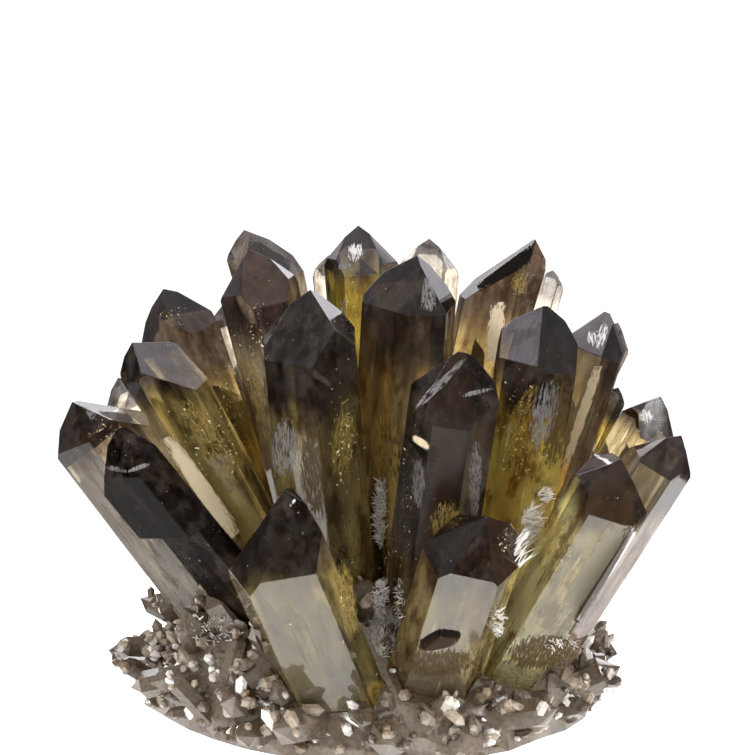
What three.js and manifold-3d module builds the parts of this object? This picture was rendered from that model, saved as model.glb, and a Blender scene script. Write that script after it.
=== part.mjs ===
// A morion quartz cluster: dark smoky quartz points that spray out of a low mound of druse.
// Millimetres, +Z up, -Y is the side that is seen first. The origin is the middle of the flat
// underside, where the mound was broken off its wall and rests.
import * as THREE from "three";
import { ConvexGeometry } from "three/addons/geometries/ConvexGeometry.js";
import { mergeVertices } from "three/addons/utils/BufferGeometryUtils.js";
import Module from "manifold-3d";

const wasm = await Module();
wasm.setup();

// Quartz keeps the angle between its axis and the six faces of the point.
const POINT_FACE_ANGLE = THREE.MathUtils.degToRad(51.8);
const FACES = 6;
// Free space between neighbouring crystals, and between a crystal and the druse round its foot.
const GAP = 0.3;
const FOOT_DEPTH = 4;
// What counts as parallel, as on a plane, as one point and as no overlap.
const PARALLEL = 1e-6;
const SLACK = 1e-4;
const SAME_POINT = 1e-3;
const NO_OVERLAP = 1e-3;

// Each crystal has its tip and the foot of its axis, the distance from that axis to each of its
// six long faces, and how far along the axis each face of the point is moved from the tip. Face 0
// looks at the viewer when turn is 0, and the others follow towards +X. A smaller point number
// is a face that has grown over its neighbours. A crystal with taper is slimmer at the foot, by
// that many degrees on each side, and a clear one has lost the smoky colour.
const CRYSTALS = [
  {
    name: "left_low_outer", tip: [-73, -24, 80], foot: [-31, -12, 18], turn: 24,
    sides: [6, 12, 12, 12, 11.5, 6.5], point: [0, 0, 2, 1, 5, 0],
  },
  {
    name: "left_low_front", tip: [-60, -52, 79], foot: [-25.5, -30, 28], turn: 12,
    sides: [6.5, 6, 2, 7, 12, 3.5], point: [2.7, 0, 1, 0, 3, 0],
  },
  {
    name: "left_low_step", tip: [-60, -52, 79], foot: [-46.5, -43.4, 59], turn: 12,
    sides: [9, 6, 2, 7, 14, 7], point: [2.7, 0, 1, 0, 3, 0],
  },
  {
    name: "left_golden", tip: [-58, -30, 96], foot: [-22, -18, 28], turn: -3, taper: 2,
    sides: [8.6, 12.5, 9.5, 8, 8, 6.2], point: [6, -0.5, 5, 0, 3, 0],
  },
  {
    name: "left_high_brown", tip: [-53, 3, 104], foot: [-24, 7, 21], turn: -10, taper: 1,
    sides: [9, 9.5, 9, 9, 9, 9], point: [3, 0, 2, 0, 4, 0],
  },
  {
    name: "left_high_back", tip: [-34, 30, 115.5], foot: [-10, 22, 19], turn: 0, taper: 2,
    sides: [9, 11.5, 11, 9, 6, 5.5], point: [3, 0, 4, 0, 2, 0],
  },
  {
    name: "left_high_tan", tip: [-31, -6, 115.5], foot: [-12, -5, 28], turn: 15, taper: 1.5,
    sides: [10, 9, 9, 9, 9, 9], point: [-1.5, 2, 0, 3, 0, 1],
  },
  {
    name: "middle_tall_dark", tip: [-16, -42, 110], foot: [-10, -22, 33], turn: -30,
    sides: [10.5, 10.5, 10.3, 9, 9, 11.2], point: [-1, 6, 1, 3, 0, 2],
  },
  {
    name: "top_yellow", tip: [-5, 10, 118.5], foot: [-1, 9, 24], turn: 0, taper: 1.5,
    sides: [9, 9.5, 9.5, 9, 7.5, 7.5], point: [0, 3, 1.5, 2, 0, 2],
  },
  {
    name: "top_brown", tip: [10, -24, 116], foot: [5, -14, 28], turn: 18,
    sides: [11, 9.3, 9, 9, 12, 9.5], point: [1.9, 0, 3, 0, 5, 0],
  },
  {
    name: "top_grey_back", tip: [14, 36, 112.5], foot: [8, 26, 20], turn: 0, clear: true,
    sides: [7, 7.5, 7, 7, 7, 7], point: [0, 2, 0, 2, 0, 2],
  },
  {
    name: "right_high_brown", tip: [40, 6, 116], foot: [18, 5, 25], turn: -18, taper: 2,
    sides: [9, 5.5, 3.5, 6, 12, 15], point: [3, 0, 0, 2, 1, 0],
  },
  {
    name: "right_high_thin", tip: [46, 30, 105], foot: [22, 18, 20], turn: 0, clear: true,
    sides: [3.5, 3.5, 3.5, 3.5, 3.5, 3.5], point: [0, 1, 0, 1, 0, 1],
  },
  {
    name: "right_amber", tip: [39.3, -34.2, 105.7], foot: [28.3, -31.9, 30], turn: 30,
    sides: [10.6, 10.1, 9, 9, 8.4, 9], point: [-1, 4.5, 2.2, 0, 3, -1.7],
  },
  {
    name: "right_high_striped", tip: [55.8, -11.5, 99.9], foot: [33.6, -12.6, 24], turn: 20,
    sides: [9, 7.6, 7, 8, 8, 5.6], point: [1.7, 2.2, 3, 3, 0.4, -2.2],
  },
  {
    name: "right_orange_sliver", tip: [62, 14, 77], foot: [35, 14, 19], turn: 0,
    sides: [3, 3, 3, 3, 3, 3], point: [0, 1, 0, 1, 0, 1],
  },
  {
    name: "right_pale_back", tip: [61, 6, 95], foot: [27, 14, 19], turn: 0, clear: true,
    sides: [5, 5, 5, 5, 5, 5], point: [0, 1, 0, 1, 0, 1],
  },
  {
    name: "middle_grey", tip: [20, -62, 99], foot: [13, -36, 37], turn: -5,
    sides: [10.5, 9, 8, 9, 10, 9], point: [-1, 0, 2, 0, 1, 2],
  },
  {
    name: "right_low_pale", tip: [71, -4, 78], foot: [39, 0, 18], turn: 10,
    sides: [8, 9.3, 8.8, 9, 6, 6], point: [0, 2, 0, 2, 0, 2],
  },
  {
    name: "right_low_outer", tip: [73, -34, 74], foot: [40, -22, 15], turn: -10,
    sides: [7, 6.5, 6, 8, 8, 8], point: [0, 2, 0, 2, 0, 2],
  },
  {
    name: "right_low_front", tip: [57.2, -66, 75.7], foot: [33.6, -35, 23.5], turn: 10.3,
    sides: [11.3, 10.7, 8.5, 8, 7.2, 10], point: [3.7, 3.7, -3.1, 1, 1, 5.7],
  },
  {
    name: "front_left", tip: [-20, -74, 70], foot: [-3, -41, 18], turn: -11.4,
    sides: [12.8, 8.9, 1.8, 8, 18.4, 18.4], point: [0.4, 5.2, -1, 0, 0, 3.5],
  },
  {
    name: "front_right", tip: [26.9, -75.6, 63.2], foot: [16.8, -41.5, 17.5], turn: 0,
    sides: [8.8, 8, 7, 9, 11.6, 12.5], point: [-0.3, -2.5, 2, 0, 2, 1.8],
  },
  {
    name: "left_pale_back", tip: [-66, 17, 79], foot: [-33, 6, 17], turn: 0, clear: true,
    sides: [7, 7, 7, 7, 7, 7], point: [0, 2, 0, 2, 0, 2],
  },
  {
    name: "left_high_pale", tip: [-39, 16, 98], foot: [-17, 16, 20], turn: 0, clear: true,
    sides: [4, 4, 4, 4, 4, 4], point: [0, 2, 0, 2, 0, 2],
  },
  {
    name: "top_pale_back", tip: [-12, 22, 110], foot: [-4, 17, 20], turn: 0, clear: true,
    sides: [4, 4, 4, 4, 4, 4], point: [0, 2, 0, 2, 0, 2],
  },
  {
    name: "back_left_high", tip: [-58, 44, 68], foot: [-27, 24, 18], turn: 20,
    sides: [9, 9, 10, 9, 9, 9], point: [0, 2, 0, 3, 0, 3],
  },
  {
    name: "back_left_tall", tip: [-36, 60, 78], foot: [-16, 36, 18], turn: 10,
    sides: [8, 9, 10, 11, 10, 9], point: [2, 0, 1, 0, 3, 0],
  },
  {
    name: "back_middle_tall", tip: [-10, 62, 88], foot: [-3, 38, 20], turn: 5,
    sides: [9, 10, 10, 10, 11, 9], point: [2, 0, 2, 0, 3, 0],
  },
  {
    name: "back_right_tall", tip: [22, 60, 88], foot: [14, 38, 18], turn: 25,
    sides: [9, 9, 10, 10, 9, 9], point: [0, 3, 0, 2, 0, 3],
  },
  {
    name: "back_right_high", tip: [50, 46, 80], foot: [27, 28, 17], turn: -10,
    sides: [9, 9, 9, 10, 9, 9], point: [2, 0, 2, 0, 2, 0],
  },
  {
    name: "back_right_outer", tip: [68, 30, 60], foot: [40, 15, 14], turn: 15,
    sides: [8, 8, 8, 8, 8, 8], point: [0, 2, 0, 3, 0, 2],
  },
  {
    name: "back_middle_low", tip: [3, 78, 52], foot: [2, 46, 16], turn: 0,
    sides: [8, 10, 11, 12, 11, 10], point: [3, 0, 0, 1, 0, 0],
  },
  {
    name: "back_right_low", tip: [40, 70, 50], foot: [24, 44, 12], turn: 15,
    sides: [8, 9, 9, 10, 9, 9], point: [2, 0, 2, 0, 2, 0],
  },
  {
    name: "back_left_low", tip: [-34, 74, 46], foot: [-20, 45, 13], turn: -5,
    sides: [8, 9, 10, 9, 9, 8], point: [0, 3, 0, 2, 0, 2],
  },
  {
    name: "side_left_low", tip: [-60, 34, 40], foot: [-38, 20, 13], turn: 5,
    sides: [7, 8, 8, 8, 8, 7], point: [0, 2, 0, 2, 0, 2],
  },
  {
    name: "side_right_low", tip: [57, 50, 42], foot: [38, 31, 11], turn: -5,
    sides: [7, 7, 8, 8, 8, 7], point: [2, 0, 2, 0, 2, 0],
  },
];

// Crystals that grew as one. The first two share an axis, the wider one ends in a step halfway
// down, and the others part higher up.
const INTERGROWN = [
  ["left_low_front", "left_low_step"],
  ["back_left_tall", "back_left_low"],
  ["back_left_high", "side_left_low"],
  ["back_right_tall", "back_right_low"],
];

// The mound that carries them: a rounded lump with a flat underside. Its lumps are waves that
// run so many times round it and down its side, each with its share of the height.
const MOUND_RADIUS = 56;
const MOUND_HEIGHT = 36;
const MOUND_RINGS = 10;
const MOUND_SECTORS = 32;
const LUMP_HEIGHT = 0.9;
const LUMP_WAVES = [
  { round: 3, down: 5, share: 1 },
  { round: 7, down: -9, share: 1 },
  { round: 13, down: 15, share: 0.6 },
];

// The crust of small points on the mound, down to just above its edge.
const CRUST_POINTS = 100;
const CRUST_REACH = 0.93;
const CRUST_LENGTH = [7, 15];
const CRUST_RADIUS = [2, 4.4];
const CRUST_LEAN = 0.75;
const CRUST_MARGIN = 1;
const GOLDEN_ANGLE = Math.PI * (3 - Math.sqrt(5));

// The fraction of a large sine wave, read at long strides, serves as a dice.
const SEED_STRIDE = 127.1;
const THROW_STRIDE = 311.7;
const WAVE_SIZE = 43758.5;

const UP = new THREE.Vector3(0, 0, 1);
const ORIGIN = new THREE.Vector3();

// The planes that bound one crystal: six long faces, six faces of the point, and the foot.
function crystalPlanes({ tip, foot, turn, taper = 0, sides, point }) {
  const top = new THREE.Vector3(...tip);
  const bottom = new THREE.Vector3(...foot);
  const axis = top.clone().sub(bottom).normalize();
  const front = new THREE.Vector3(0, -1, 0).projectOnPlane(axis).normalize();
  const right = axis.clone().cross(front);
  const base = bottom.clone().addScaledVector(axis, -FOOT_DEPTH);
  const planes = [plane(axis.clone().negate(), base)];
  for (let k = 0; k < FACES; k++) {
    const angle = THREE.MathUtils.degToRad(turn + (360 / FACES) * k);
    const out = front.clone().multiplyScalar(Math.cos(angle)).addScaledVector(right, Math.sin(angle));
    const side = tilted(out, axis, THREE.MathUtils.degToRad(-taper));
    planes.push(plane(side, top.clone().addScaledVector(out, sides[k])));
    const slope = tilted(axis, out, POINT_FACE_ANGLE);
    planes.push(plane(slope, top.clone().addScaledVector(axis, point[k])));
  }
  return planes;
}

// A direction turned by an angle towards another one that is square to it.
function tilted(from, towards, angle) {
  return from.clone().multiplyScalar(Math.cos(angle)).addScaledVector(towards, Math.sin(angle));
}

// A plane as its outward normal and its distance from the origin along that normal.
function plane(normal, through) {
  return { normal, reach: normal.dot(through) };
}

// The corners of the solid that the planes bound, each plane moved outwards by grow.
function corners(planes, grow = 0) {
  const found = [];
  const meet = new THREE.Matrix3();
  planes.forEach((a, i) => {
    planes.slice(i + 1).forEach((b, j) => {
      planes.slice(i + j + 2).forEach((c) => {
        meet.set(...a.normal, ...b.normal, ...c.normal);
        if (Math.abs(meet.determinant()) < PARALLEL) return;
        const corner = new THREE.Vector3(a.reach, b.reach, c.reach).addScalar(grow);
        corner.applyMatrix3(meet.invert());
        const inside = planes.every(({ normal, reach }) => normal.dot(corner) < reach + grow + SLACK);
        const isNew = found.every((other) => other.distanceTo(corner) > SAME_POINT);
        if (inside && isNew) found.push(corner);
      });
    });
  });
  return found;
}

// A closed geometry as a solid that can be joined and cut.
function solidFrom(geometry) {
  const bare = geometry.clone();
  bare.deleteAttribute("normal");
  bare.deleteAttribute("uv");
  const merged = mergeVertices(bare, SLACK);
  const vertProperties = merged.getAttribute("position").array;
  const triVerts = new Uint32Array(merged.index.array);
  return new wasm.Manifold(new wasm.Mesh({ numProp: 3, vertProperties, triVerts }));
}

const solidOfPlanes = (planes, grow) => solidFrom(new ConvexGeometry(corners(planes, grow)));

// Crystals that only touch meet on a flat contact face half way between their axes.
function settleContacts(crystals) {
  crystals.forEach((one, i) => {
    crystals.slice(i + 1).forEach((two) => {
      if (one.group === two.group) return;
      const common = one.solid.intersect(two.solid);
      if (common.volume() < NO_OVERLAP) return;
      const { min, max } = common.boundingBox();
      const middle = new THREE.Vector3(...min).add(new THREE.Vector3(...max)).multiplyScalar(0.5);
      const across = nearestOnAxis(two, middle).sub(nearestOnAxis(one, middle));
      const along = one.axis.clone().add(two.axis).normalize();
      const normal = across.projectOnPlane(along).normalize();
      const half = normal.clone().multiplyScalar(GAP / 2);
      one.planes.push(plane(normal, middle.clone().sub(half)));
      two.planes.push(plane(normal.clone().negate(), middle.clone().add(half)));
      one.solid = solidOfPlanes(one.planes);
      two.solid = solidOfPlanes(two.planes);
    });
  });
}

function nearestOnAxis({ foot, axis }, point) {
  const along = point.clone().sub(foot).dot(axis);
  return foot.clone().addScaledVector(axis, along);
}

// Numbers from 0 to 1 that look random and are the same on every run.
function diceFrom(seed) {
  let throws = 0;
  return () => {
    throws += 1;
    const wave = Math.sin(seed * SEED_STRIDE + throws * THROW_STRIDE) * WAVE_SIZE;
    return wave - Math.floor(wave);
  };
}

const between = ([low, high], share) => low + (high - low) * share;

// A point on the mound, from the share of the way down its side and the angle round it.
function onMound(down, round) {
  const fall = (Math.PI / 2) * down;
  const waves = LUMP_WAVES.map((wave) => wave.share * Math.sin(wave.round * round + wave.down * down));
  const swell = LUMP_HEIGHT * Math.sin(fall) * waves.reduce((sum, wave) => sum + wave);
  const out = (MOUND_RADIUS + swell) * Math.sin(fall);
  const lift = (MOUND_HEIGHT + swell) * Math.cos(fall);
  return new THREE.Vector3(out * Math.cos(round), out * Math.sin(round), Math.max(lift, 0));
}

function moundGeometry() {
  const points = [UP.clone().multiplyScalar(MOUND_HEIGHT), ORIGIN];
  const faces = [];
  const at = (ring, sector) => 2 + (ring - 1) * MOUND_SECTORS + (sector % MOUND_SECTORS);
  for (let ring = 1; ring <= MOUND_RINGS; ring++) {
    for (let sector = 0; sector < MOUND_SECTORS; sector++) {
      points.push(onMound(ring / MOUND_RINGS, (2 * Math.PI * sector) / MOUND_SECTORS));
      if (ring > 1) {
        faces.push(at(ring - 1, sector), at(ring, sector), at(ring, sector + 1));
        faces.push(at(ring - 1, sector), at(ring, sector + 1), at(ring - 1, sector + 1));
      }
    }
  }
  for (let sector = 0; sector < MOUND_SECTORS; sector++) {
    faces.push(0, at(1, sector), at(1, sector + 1));
    faces.push(1, at(MOUND_RINGS, sector + 1), at(MOUND_RINGS, sector));
  }
  const geometry = new THREE.BufferGeometry().setFromPoints(points);
  geometry.setIndex(faces);
  return geometry;
}

// One small point of the crust, standing on the mound and leaning its own way.
function crustPoint(index) {
  const dice = diceFrom(index);
  const down = Math.sqrt((index + 0.5) / CRUST_POINTS) * CRUST_REACH;
  const foot = onMound(down, index * GOLDEN_ANGLE);
  const outward = foot.clone().add(UP.clone().multiplyScalar(foot.z)).normalize();
  const lean = new THREE.Vector3(dice(), dice(), dice()).subScalar(0.5).multiplyScalar(2 * CRUST_LEAN);
  const axis = outward.add(lean).normalize();
  const tip = foot.clone().addScaledVector(axis, between(CRUST_LENGTH, dice()));
  const sides = Array(FACES).fill(between(CRUST_RADIUS, dice()));
  const point = Array(FACES).fill(0);
  const planes = crystalPlanes({ tip, foot, turn: (360 / FACES) * dice(), sides, point });
  planes.push(plane(UP.clone().negate(), ORIGIN));
  return { tip, planes };
}

// Whether a point is inside the planes, or closer to them than a crust point may stand.
function crowds(planes, point) {
  return planes.every(({ normal, reach }) => normal.dot(point) < reach + CRUST_MARGIN);
}

// The mound and its crust in one solid, with a socket round the foot of every crystal.
function druseSolid(crystals) {
  let druse = solidFrom(moundGeometry());
  for (let index = 0; index < CRUST_POINTS; index++) {
    const { tip, planes } = crustPoint(index);
    if (crystals.some((crystal) => crowds(crystal.planes, tip))) continue;
    druse = druse.add(solidOfPlanes(planes));
  }
  for (const crystal of crystals) druse = druse.subtract(solidOfPlanes(crystal.planes, GAP));
  const [largest] = druse.decompose().sort((a, b) => b.volume() - a.volume());
  return largest;
}

function geometryFrom(solid) {
  const { vertProperties, triVerts } = solid.getMesh();
  const geometry = new THREE.BufferGeometry();
  geometry.setAttribute("position", new THREE.BufferAttribute(vertProperties, 3));
  geometry.setIndex(new THREE.BufferAttribute(triVerts, 1));
  return geometry;
}

const crystals = CRYSTALS.map((crystal) => {
  const planes = crystalPlanes(crystal);
  const foot = new THREE.Vector3(...crystal.foot);
  const axis = new THREE.Vector3(...crystal.tip).sub(foot).normalize();
  const pair = INTERGROWN.find((names) => names.includes(crystal.name));
  const group = pair ? pair[0] : crystal.name;
  const { clear = false } = crystal;
  return { group, clear, planes, foot, axis, solid: solidOfPlanes(planes) };
});
// A second pass settles the pairs that the first one's new faces brought into touch.
settleContacts(crystals);
settleContacts(crystals);

const smokyQuartz = new THREE.MeshStandardMaterial({ color: 0x4a3a1c, roughness: 0.12, metalness: 0 });
const paleQuartz = new THREE.MeshStandardMaterial({ color: 0xb9b2a4, roughness: 0.12, metalness: 0 });
const druseCrust = new THREE.MeshStandardMaterial({ color: 0x8f7f68, roughness: 0.5, metalness: 0 });

const cluster = new THREE.Group();
for (const group of new Set(crystals.map((crystal) => crystal.group))) {
  const [first, ...others] = crystals.filter((crystal) => crystal.group === group);
  const solid = others.reduce((joined, other) => joined.add(other.solid), first.solid);
  const mesh = new THREE.Mesh(geometryFrom(solid), first.clear ? paleQuartz : smokyQuartz);
  mesh.name = "crystal_" + group;
  cluster.add(mesh);
}
const matrix = new THREE.Mesh(geometryFrom(druseSolid(crystals)), druseCrust);
matrix.name = "matrix";
cluster.add(matrix);

export default cluster;
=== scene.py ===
# %% [markdown]
# # A morion quartz cluster
#
# Morion is quartz that grew clear and was darkened to a smoky brown deep in the rock. This specimen is a
# spray of six-sided points on a low mound of small crystals, called druse. The imported solids already
# have every facet in its place, so this lesson is about looks: crisp but not razor-sharp edges, glass that
# swallows light, colour that fades from the black tips to a golden foot, painted reflections, highlights,
# glints and shade on the facets, and a sparkling crust.

# %% Load the solids
import math
import random

import bpy
from mathutils import Matrix, Vector
from mathutils.bvhtree import BVHTree


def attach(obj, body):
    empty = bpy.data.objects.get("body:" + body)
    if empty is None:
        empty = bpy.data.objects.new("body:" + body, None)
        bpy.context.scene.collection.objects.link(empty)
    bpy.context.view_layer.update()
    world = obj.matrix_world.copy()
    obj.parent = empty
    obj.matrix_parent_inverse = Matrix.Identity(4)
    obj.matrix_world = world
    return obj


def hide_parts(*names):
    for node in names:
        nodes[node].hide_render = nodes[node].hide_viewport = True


MM = 0.001

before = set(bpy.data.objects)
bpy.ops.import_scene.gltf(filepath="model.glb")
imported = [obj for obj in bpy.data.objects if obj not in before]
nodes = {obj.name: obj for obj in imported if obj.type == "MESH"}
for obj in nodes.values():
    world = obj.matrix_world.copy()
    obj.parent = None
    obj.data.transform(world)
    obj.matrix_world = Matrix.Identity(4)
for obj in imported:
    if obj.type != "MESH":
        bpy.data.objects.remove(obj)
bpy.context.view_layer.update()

# %% [markdown]
# The camera stands in front and looks down by ten degrees, as for the photograph. A long lens
# keeps the far points nearly as large as the near ones. The standard view transform lets bright
# parts of the scene clip to pure white, which is what a high-key picture is made of.

# %% The camera
LOOK_AT = Vector((0.5, 0, 82)) * MM
DISTANCE = 700 * MM
ELEVATION = math.radians(10)
LENS = 133.5
SENSOR = 36
back = Vector((0, -math.cos(ELEVATION), math.sin(ELEVATION)))

bpy.ops.object.select_all(action="DESELECT")
bpy.ops.object.camera_add(location=LOOK_AT + back * DISTANCE)
camera = bpy.context.object
camera.rotation_euler = (math.radians(90) - ELEVATION, 0, 0)
camera.data.lens = LENS
camera.data.sensor_width = SENSOR
bpy.context.scene.camera = camera
bpy.context.scene.view_settings.view_transform = "Standard"
print("camera at", [round(x / MM) for x in camera.location], "mm")

# %% [markdown]
# Quartz shows its faces by what they mirror and by what shines through them, so the room round
# it matters as much as the stone. A photographer would stand the cluster on a white table with
# white card behind and beside it, and let the dark ceiling show in the faces that look up. The
# same is made here: a bright band of sky low down, dark above, seen by everything but the camera.

# %% The white room
def new_tree(owner):
    owner.use_nodes = True
    owner.node_tree.nodes.clear()
    return owner.node_tree


def add_node(tree, kind, **settings):
    node = tree.nodes.new(kind)
    for name, value in settings.items():
        if name in node.inputs:
            node.inputs[name].default_value = value
        else:
            setattr(node, name, value)
    return node


def wire(tree, *pairs):
    """Links each output to the input beside it."""
    for source, target in pairs:
        tree.links.new(source, target)


def set_stops(ramp, stops):
    """Gives a Color Ramp its stops, as (position, colour) pairs."""
    while len(ramp.elements) < len(stops):
        ramp.elements.new(1)
    for element, (position, colour) in zip(ramp.elements, stops):
        element.position = position
        element.color = (*colour, 1)


WINDOW = Vector((0, 0.77, 0.64)).normalized()

world = bpy.data.worlds.new("white room")
bpy.context.scene.world = world
tree = new_tree(world)
direction = add_node(tree, "ShaderNodeTexCoord")
toward = add_node(tree, "ShaderNodeVectorMath", operation="DOT_PRODUCT")
toward.inputs[1].default_value = WINDOW
window = add_node(tree, "ShaderNodeValToRGB")
set_stops(window.color_ramp, [
    (0.0, (0.05, 0.05, 0.05)),
    (0.45, (0.06, 0.06, 0.062)),
    (0.72, (0.18, 0.175, 0.185)),
    (0.88, (0.48, 0.47, 0.50)),
    (1.0, (0.70, 0.69, 0.71)),
])
split = add_node(tree, "ShaderNodeSeparateXYZ")
skyline = add_node(tree, "ShaderNodeMapRange", interpolation_type="SMOOTHSTEP",
                   **{"From Min": 0.0, "From Max": 0.3, "To Min": 0.12})
lit = add_node(tree, "ShaderNodeVectorMath", operation="SCALE")
room = add_node(tree, "ShaderNodeBackground", Strength=7.0)
upright = add_node(tree, "ShaderNodeMapRange", **{"From Min": -1.0, "From Max": 1.0})
behind = add_node(tree, "ShaderNodeValToRGB")
set_stops(behind.color_ramp, [
    (0.0, (0.5, 0.5, 0.5)),
    (0.35, (0.8, 0.8, 0.8)),
    (0.45, (1.0, 1.0, 1.0)),
    (0.62, (1.0, 1.0, 1.0)),
    (0.80, (0.30, 0.30, 0.30)),
    (1.0, (0.10, 0.10, 0.10)),
])
glow = add_node(tree, "ShaderNodeBackground", Strength=3.4)
through = add_node(tree, "ShaderNodeMixShader")
around = add_node(tree, "ShaderNodeBackground", Color=(1.0, 0.985, 0.96, 1), Strength=1.5)
matt = add_node(tree, "ShaderNodeMixShader")
card = add_node(tree, "ShaderNodeBackground", Color=(1, 1, 1, 1), Strength=1.1)
path = add_node(tree, "ShaderNodeLightPath")
pick = add_node(tree, "ShaderNodeMixShader")
output = add_node(tree, "ShaderNodeOutputWorld")
wire(tree, (direction.outputs["Generated"], toward.inputs[0]),
     (direction.outputs["Generated"], split.inputs[0]),
     (toward.outputs["Value"], window.inputs["Fac"]),
     (split.outputs["Z"], skyline.inputs["Value"]),
     (window.outputs["Color"], lit.inputs[0]),
     (skyline.outputs["Result"], lit.inputs["Scale"]),
     (lit.outputs[0], room.inputs["Color"]),
     (path.outputs["Is Camera Ray"], pick.inputs["Fac"]),
     (split.outputs["Z"], upright.inputs["Value"]),
     (upright.outputs["Result"], behind.inputs["Fac"]),
     (behind.outputs["Color"], glow.inputs["Color"]),
     (path.outputs["Is Transmission Ray"], through.inputs["Fac"]),
     (room.outputs[0], through.inputs[1]),
     (glow.outputs[0], through.inputs[2]),
     (path.outputs["Is Diffuse Ray"], matt.inputs["Fac"]),
     (through.outputs[0], matt.inputs[1]),
     (around.outputs[0], matt.inputs[2]),
     (matt.outputs[0], pick.inputs[1]),
     (card.outputs[0], pick.inputs[2]),
     (pick.outputs[0], output.inputs["Surface"]))
print("window towards", [round(x, 2) for x in WINDOW])

# %% [markdown]
# The floor is a plain pale disc that glows a little, so bright that the undersides of the front
# points mirror it as flat grey. Two soft lamps, left and right, make the small glints.

# %% Floor and lamps
FLOOR_RADIUS = 0.14
FLOOR_GLOW = 1.5
LAMP_SIZE = 90 * MM
LAMP_POWER = 2

bpy.ops.object.select_all(action="DESELECT")
bpy.ops.mesh.primitive_circle_add(vertices=96, radius=FLOOR_RADIUS, fill_type="NGON")
floor = bpy.context.object
floor.name = "floor"
table = bpy.data.materials.new("pale table")
tree = new_tree(table)
shader = add_node(tree, "ShaderNodeBsdfPrincipled", Roughness=0.6)
shader.inputs["Base Color"].default_value = (0.86, 0.86, 0.85, 1)
shader.inputs["Emission Color"].default_value = (1, 1, 1, 1)
shader.inputs["Emission Strength"].default_value = FLOOR_GLOW
output = add_node(tree, "ShaderNodeOutputMaterial")
tree.links.new(shader.outputs[0], output.inputs["Surface"])
floor.data.materials.append(table)


def soft_lamp(name, place):
    """A square area lamp at a place in millimetres that looks at the middle of the cluster."""
    bpy.ops.object.light_add(type="AREA", location=Vector(place) * MM)
    lamp = bpy.context.object
    lamp.name = name
    lamp.data.size = LAMP_SIZE
    lamp.data.energy = LAMP_POWER
    lamp.rotation_euler = (LOOK_AT - lamp.location).to_track_quat("-Z", "Y").to_euler()


soft_lamp("lamp left", (-300, -500, 420))
soft_lamp("lamp right", (520, -260, 480))

# %% [markdown]
# Each crystal needs to know its own axis, because its colour fades along it and its grain runs
# across it. The table gives every tip and foot in millimetres, which of the stone's colours
# fills the crystal, and how many millimetres of it are dark from the tip down.

# %% The crystals' axes and colours
AXES = {
    "left_low_outer": ((-73, -24, 80), (-31, -12, 18), "smoke", 15),
    "left_low_front": ((-60, -52, 79), (-25.5, -30, 28), "jet", 60),
    "left_golden": ((-58, -30, 96), (-22, -18, 28), "olive", 15),
    "left_high_brown": ((-53, 3, 104), (-24, 7, 21), "gold", 30),
    "left_high_back": ((-34, 30, 115.5), (-10, 22, 19), "smoke", 16),
    "left_high_tan": ((-31, -6, 115.5), (-12, -5, 28), "tan", 26),
    "middle_tall_dark": ((-16, -42, 110), (-10, -22, 33), "olive", 30),
    "top_yellow": ((-5, 10, 118.5), (-1, 9, 24), "honey", 14),
    "top_brown": ((10, -24, 116), (5, -14, 28), "brown", 30),
    "top_grey_back": ((14, 36, 112.5), (8, 26, 20), "clear", 8),
    "right_high_brown": ((40, 6, 116), (18, 5, 25), "gold", 26),
    "right_high_thin": ((46, 30, 105), (22, 18, 20), "clear", 8),
    "right_amber": ((39.3, -34.2, 105.7), (28.3, -31.9, 30), "amber", 24),
    "right_high_striped": ((55.8, -11.5, 99.9), (33.6, -12.6, 24), "tan", 20),
    "right_orange_sliver": ((62, 14, 77), (35, 14, 19), "amber", 10),
    "right_pale_back": ((61, 6, 95), (27, 14, 19), "clear", 10),
    "middle_grey": ((20, -62, 99), (13, -36, 37), "morion", 56),
    "right_low_pale": ((71, -4, 78), (39, 0, 18), "tan", 12),
    "right_low_outer": ((73, -34, 74), (40, -22, 15), "rose", 22),
    "right_low_front": ((57.2, -66, 75.7), (33.6, -35, 23.5), "citrine", 15),
    "front_left": ((-20, -74, 70), (-3, -41, 18), "olive", 20),
    "front_right": ((26.9, -75.6, 63.2), (16.8, -41.5, 17.5), "gold", 20),
    "left_pale_back": ((-66, 17, 79), (-33, 6, 17), "clear", 6),
    "left_high_pale": ((-39, 16, 98), (-17, 16, 20), "clear", 6),
    "top_pale_back": ((-12, 22, 110), (-4, 17, 20), "clear", 6),
    "back_left_high": ((-58, 44, 68), (-27, 24, 18), "olive", 18),
    "back_left_tall": ((-36, 60, 78), (-16, 36, 18), "brown", 30),
    "back_middle_tall": ((-10, 62, 88), (-3, 38, 20), "gold", 24),
    "back_right_tall": ((22, 60, 88), (14, 38, 18), "olive", 22),
    "back_right_high": ((50, 46, 80), (27, 28, 17), "morion", 40),
    "back_right_outer": ((68, 30, 60), (40, 15, 14), "gold", 18),
    "back_middle_low": ((3, 78, 52), (2, 46, 16), "smoke", 16),
    "side_right_low": ((57, 50, 42), (38, 31, 11), "olive", 14),
}
SECOND_AXES = {
    "back_left_tall": ((-34, 74, 46), (-20, 45, 13)),
    "back_left_high": ((-60, 34, 40), (-38, 20, 13)),
    "back_right_tall": ((40, 70, 50), (24, 44, 12)),
}
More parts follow.
